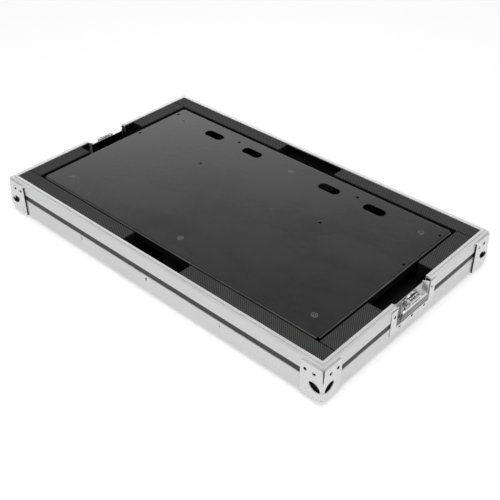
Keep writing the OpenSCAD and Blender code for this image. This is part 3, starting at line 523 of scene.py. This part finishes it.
# A strip made of stretches, each a section and its two ends. Flat walls close the ends and the steps
# between them, and points that fall together are merged
def foamPiece(name, node, stretches, walls, alongX, side, top):
    points = np.zeros((0, 3))
    quads = np.zeros((0, 4), int)
    for section, start, end in stretches:
        count = max(2, int(round((end - start) / foamSizes["step"])) + 1)
        more, corners = carried(section, np.linspace(start, end, count), top)
        quads = np.vstack([quads, corners + len(points)])
        points = np.vstack([points, more])
    outlines = []
    for outline, station in walls:
        more = carried(outline, [station], top)[0]
        outlines.append(np.arange(len(outline)) + len(points))
        points = np.vstack([points, more])
    kept, merged = np.unique(np.round(points, 4), axis=0, return_index=True, return_inverse=True)[1:]
    points = points[kept]
    merged = merged.reshape(-1)
    faces = merged[quads].tolist() + [merged[outline].tolist() for outline in outlines]
    if alongX:
        points = points * (1, side, 1)
    else:
        points = points[:, (1, 0, 2)] * (side, 1, 1)
    mesh = bpy.data.meshes.new(name)
    mesh.from_pydata((points * mm).tolist(), [], faces)
    mesh.validate()
    mesh.materials.append(foamSkin)
    piece = bpy.data.objects.new(name, mesh)
    bpy.context.scene.collection.objects.link(piece)
    turnFacesOut(piece)
    rounding = piece.modifiers.new("cutEdges", "BEVEL")
    rounding.width = foamSizes["edgeRound"] * mm
    rounding.segments = foamSizes["edgeSegments"]
    rounding.limit_method = "ANGLE"
    rounding.angle_limit = math.radians(foamSizes["edgeTurn"])
    rounding.use_clamp_overlap = True
    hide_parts(node)
    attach(piece, "case_base")


def turnFacesOut(piece):
    bpy.context.view_layer.objects.active = piece
    piece.select_set(True)
    bpy.ops.object.mode_set(mode="EDIT")
    bpy.ops.mesh.select_all(action="SELECT")
    bpy.ops.mesh.normals_make_consistent(inside=False)
    bpy.ops.object.mode_set(mode="OBJECT")
    piece.select_set(False)


# A strip's section: up its inner face, across the top, down the outer face and round the foot
def stripSection(strip):
    low, top = foamSizes["padTop"], foamSizes["top"]
    shelf, notch = foamSizes["ledgeTop"], foamSizes["notchFloor"]
    near, far, ledge = strip["near"], strip["far"], strip["ledge"]
    return [(near, low), (near, notch), (near, top), (far, top), (far, shelf), (ledge, shelf),
            (ledge, notch), (ledge, low)]


# The strip's part under the finger notch: a plain bar from the inner face to the given outer one
def notchSection(strip, outer):
    low, notch = foamSizes["padTop"], foamSizes["notchFloor"]
    return [(strip["near"], low), (strip["near"], notch), (outer, notch), (outer, low)]


def cutStrip(name, node, full, notched, wall, end, alongX, side):
    half = foamSizes["notchHalf"]
    stretches = [(full, -end, -half), (notched, -half, half), (full, half, end)]
    walls = [(full, -end), (wall, -half), (wall, half), (full, end)]
    foamPiece(name, node, stretches, walls, alongX, side, foamSizes["top"])


strip = foamSizes["long"]
full = stripSection(strip)
notched = notchSection(strip, strip["ledge"])
for name, node, side in (("front_foam_strip", "front_foam", -1), ("back_foam_strip", "back_foam", 1)):
    cutStrip(name, node, full, notched, full[1:7], strip["end"], True, side)

strip = foamSizes["short"]  # here the bar ends at the latch's back
full = stripSection(strip) + [(strip["far"], foamSizes["padTop"])]
notched = notchSection(strip, strip["far"])
wall = full[1:] + [(strip["far"], foamSizes["notchFloor"])]
for name, node, side in (("left_foam_strip", "left_foam", -1), ("right_foam_strip", "right_foam", 1)):
    cutStrip(name, node, full, notched, wall, strip["end"], False, side)

sheetY, sheetX = foamSizes["long"]["ledge"], foamSizes["short"]["ledge"]
low, top = foamSizes["padLow"], foamSizes["padTop"]
sheetSection = [(-sheetY, low), (sheetY, low), (sheetY, top), (-sheetY, top)]
foamPiece("floor_foam_sheet", "floor_foam", [(sheetSection, -sheetX, sheetX)],
          [(sheetSection, -sheetX), (sheetSection, sheetX)], True, 1, foamSizes["calmTop"])
print("foam cut and laid in")


# Studio: pale floor, soft lamps and a pale room

studioLook = {
    "floorReach": 9.0, "floorTone": (0.86, 0.88), "fibres": (300, 300, 300), "fibreDepth": 0.01 * mm,
    "floorRoughness": (0.8, 0.9), "floorSeenTone": 0.5, "floorSeen": 0.52,
    "roomLight": 0.3, "roomSeen": 1.0, "roomTop": (0.34, 0.5),
}
lampLooks = {
    "overhead": {"place": (0.5, -0.5, 2.4), "target": (0.1, -0.1, 0), "width": 2.2, "height": 2.2,
                 "radiance": 4.0},
    "backdrop": {"place": (-2.4, 2.6, 1.1), "target": (0, 0, 1.1), "width": 6.0, "height": 2.2,
                 "radiance": 1.15},
}


def seenShare(tree):  # 1 for rays from the camera, and for those that metal or glass sends on
    path = tree.nodes.new("ShaderNodeLightPath")
    share = path.outputs["Is Camera Ray"]
    for name in ("Is Glossy Ray", "Is Transmission Ray"):
        node = tree.nodes.new("ShaderNodeMath")
        node.operation = "MAXIMUM"
        tree.links.new(share, node.inputs[0])
        tree.links.new(path.outputs[name], node.inputs[1])
        share = node.outputs[0]
    return share


def studioFloor():
    reach = studioLook["floorReach"]
    mesh = bpy.data.meshes.new("studio_floor")
    outline = [(-reach, -reach, 0), (reach, -reach, 0), (reach, reach, 0), (-reach, reach, 0)]
    mesh.from_pydata(outline, [], [(0, 1, 2, 3)])
    floor = bpy.data.objects.new("studio_floor", mesh)
    bpy.context.scene.collection.objects.link(floor)
    sheet = newSheet("palePaper")
    fibre = cloud(sheet, studioLook["fibres"])
    color = greys(sheet, fibre, studioLook["floorTone"])
    seen = seenShare(sheet["tree"])
    color = paint(sheet, seen, color, grey(studioLook["floorSeenTone"]))
    glow = calc(sheet, "MULTIPLY", seen, studioLook["floorSeen"])
    sheet["shader"].inputs["Emission Color"].default_value = (1, 1, 1, 1)
    put(sheet, sheet["shader"].inputs["Emission Strength"], glow)
    roughness = spread(sheet, fibre, *studioLook["floorRoughness"])
    normal = relief(sheet, fibre, studioLook["fibreDepth"])
    mesh.materials.append(finishSheet(sheet, color, roughness, normal, specular=0.1))


def softBox(name, place, target, width, height, radiance):
    lamp = bpy.data.lights.new(name, "AREA")
    lamp.shape = "RECTANGLE"
    lamp.size = width
    lamp.size_y = height
    lamp.energy = radiance * math.pi * width * height
    box = bpy.data.objects.new(name, lamp)
    bpy.context.scene.collection.objects.link(box)
    box.location = place
    box.rotation_euler = (Vector(target) - Vector(place)).to_track_quat("-Z", "Y").to_euler()


# The room is an even light; seen directly or in metal it is white up to the height where it fades
def studioRoom():
    world = bpy.data.worlds.new("studioRoom")
    bpy.context.scene.world = world
    world.use_nodes = True
    tree = world.node_tree
    background = tree.nodes["Background"]
    background.inputs["Color"].default_value = (1, 1, 1, 1)
    sheet = {"tree": tree, "place": tree.nodes.new("ShaderNodeTexCoord").outputs["Generated"]}
    fadeFrom, fadeTo = studioLook["roomTop"]
    lowPart = below(sheet, axisOf(sheet, 2), fadeFrom, fadeTo - fadeFrom)
    white = calc(sheet, "MULTIPLY", lowPart, seenShare(tree))
    strength = between(sheet, white, 0.0, 1.0, studioLook["roomLight"], studioLook["roomSeen"])
    put(sheet, background.inputs["Strength"], strength)


studioFloor()
studioRoom()
for name, lampLook in lampLooks.items():
    softBox(name, **lampLook)
print("studio lit")


# Camera: its angles, and its distance and shift in units of the foam's length

cameraLook = {
    "turn": 42.5108, "tilt": 37.02, "unit": 0.7, "away": 2.113913, "across": 0.027447, "raise": -0.11846,
    "aim": 0.073, "lens": 61.93, "sensor": 36,
}


def photoCamera():
    turn = math.radians(cameraLook["turn"])
    tilt = math.radians(cameraLook["tilt"])
    back = Vector((math.sin(turn) * math.cos(tilt), -math.cos(turn) * math.cos(tilt), math.sin(tilt)))
    right = Vector((math.cos(turn), math.sin(turn), 0))
    up = back.cross(right)
    place = cameraLook["away"] * back + cameraLook["across"] * right + cameraLook["raise"] * up
    place = cameraLook["unit"] * place + Vector((0, 0, cameraLook["aim"]))
    camera = bpy.data.cameras.new("photoCamera")
    camera.sensor_width = cameraLook["sensor"]
    camera.lens = cameraLook["lens"]
    view = bpy.data.objects.new("photoCamera", camera)
    bpy.context.scene.collection.objects.link(view)
    view.matrix_world = Matrix.Translation(place) @ Matrix((right, up, back)).transposed().to_4x4()
    bpy.context.scene.camera = view


photoCamera()
bpy.context.scene.view_settings.view_transform = "Standard"
print("camera placed")
